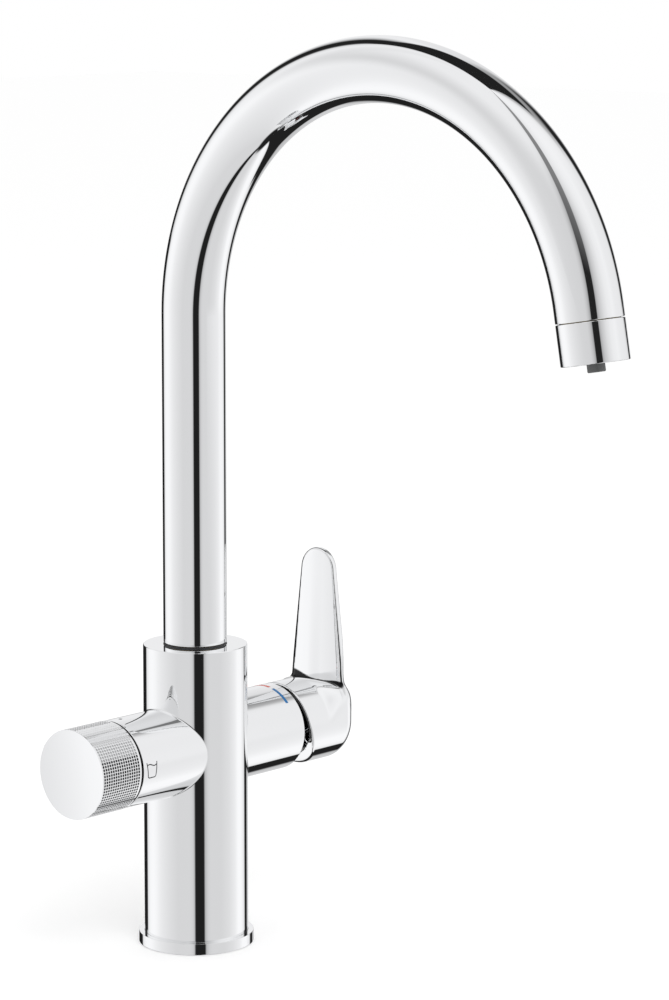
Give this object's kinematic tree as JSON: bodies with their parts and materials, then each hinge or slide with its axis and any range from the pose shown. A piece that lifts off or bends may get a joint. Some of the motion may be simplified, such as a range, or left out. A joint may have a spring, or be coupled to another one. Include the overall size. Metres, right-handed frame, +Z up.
{
  "type": "filter kitchen mixer tap",
  "caption": "Chrome kitchen tap with a high swivel arch spout, a mixer lever on one side arm and a knurled filtered-water knob on the other, with separate waterways.",
  "frame": {"origin": "centre of the base ring's underside, on the column's axis, at worktop level", "axes": "+Z up along the column; the spout reaches towards -Y; the mixer lever's arm points to +X and the filter knob's arm to -X"},
  "size_m": [0.1625, 0.2614, 0.4043],
  "materials": {
    "chrome_column": "polished",
    "chrome_ring": "polished",
    "chrome_spout": "polished",
    "chrome_sleeve": "polished",
    "chrome_lever": "polished",
    "chrome_knob": "polished, knurled round its side",
    "rubber_seals": "matt",
    "bush_plastic": "matt",
    "steel_fixings": "plain",
    "cartridge_plastic": "matt",
    "rotor_plastic": "matt",
    "disc_ceramic": "lapped ceramic",
    "bare_brass": "turned",
    "dome_plastic": "gloss",
    "insert_plastic": "matt",
    "inner_tube": "matt",
    "aerator_plastic": "matt",
    "jet_plastic": "matt",
    "nozzle_plastic": "satin",
    "red_mark": "inlaid colour",
    "blue_mark": "inlaid colour",
    "grey_mark": "inlaid colour"
  },
  "bodies": {
    "tap_body": {"column_body": "chrome_column", "base_ring": "chrome_ring", "base_seal": "rubber_seals", "swivel_bush_upper": "bush_plastic", "swivel_bush_lower": "bush_plastic", "swivel_stop_screw": "steel_fixings", "cartridge_base": "cartridge_plastic", "cartridge_seals": "rubber_seals", "cartridge_housing": "cartridge_plastic", "cartridge_fixed_disc": "disc_ceramic", "cartridge_ring_nut": "bare_brass", "cartridge_dome": "dome_plastic", "valve_body": "bare_brass", "valve_seal": "rubber_seals", "valve_fixed_disc": "disc_ceramic", "hot_mark": "red_mark", "cold_mark": "blue_mark", "tumbler_sign": "grey_mark", "index_mark": "grey_mark"},
    "spout": {"spout_tube": "chrome_spout", "spout_spigot": "bare_brass", "spigot_o_ring": "rubber_seals", "stem_o_ring": "rubber_seals", "filtered_tube": "inner_tube", "outlet_adapter": "bare_brass", "outlet_sleeve": "chrome_sleeve", "aerator_seal": "rubber_seals", "aerator_housing": "aerator_plastic", "jet_plate": "jet_plastic", "filtered_nozzle": "nozzle_plastic"},
    "mixer_rotor": {"cartridge_rotor": "rotor_plastic", "lever_pivot_pin": "steel_fixings"},
    "flow_disc": {"moving_disc": "disc_ceramic", "disc_carrier": "cartridge_plastic"},
    "lever": {"lever_handle": "chrome_lever", "lever_spindle": "steel_fixings", "lever_set_screw": "steel_fixings", "lever_plug": "chrome_lever"},
    "filter_knob": {"knob_shell": "chrome_knob", "knob_insert": "insert_plastic", "knob_screw": "steel_fixings", "valve_stem": "bare_brass", "stem_clip": "steel_fixings", "valve_moving_disc": "disc_ceramic", "valve_o_ring": "rubber_seals"}
  },
  "joints": [
    {"name": "spout_swivel", "type": "hinge", "parent": "tap_body", "child": "spout", "pos_m": [0, 0, 0.13], "axis": [0, 0, 1], "range_deg": [-75, 75]},
    {"name": "lever_temperature", "type": "hinge", "parent": "tap_body", "child": "mixer_rotor", "pos_m": [0.043, 0, 0.0885], "axis": [1, 0, 0], "range_deg": [-45, 45]},
    {"name": "lever_lift", "type": "hinge", "parent": "mixer_rotor", "child": "lever", "pos_m": [0.043, 0, 0.0885], "axis": [0, 1, 0], "range_deg": [0, 25]},
    {"name": "disc_slide", "type": "slide", "parent": "mixer_rotor", "child": "flow_disc", "axis": [0, 0, 1], "range_m": [0, 0.0055]},
    {"name": "filter_knob_turn", "type": "hinge", "parent": "tap_body", "child": "filter_knob", "pos_m": [-0.065, 0, 0.0885], "axis": [1, 0, 0], "range_deg": [0, 90]}
  ],
  "couplings": [
    {"joint": "disc_slide", "follows": "lever_lift", "m_per_rad": 0.012591}
  ]
}
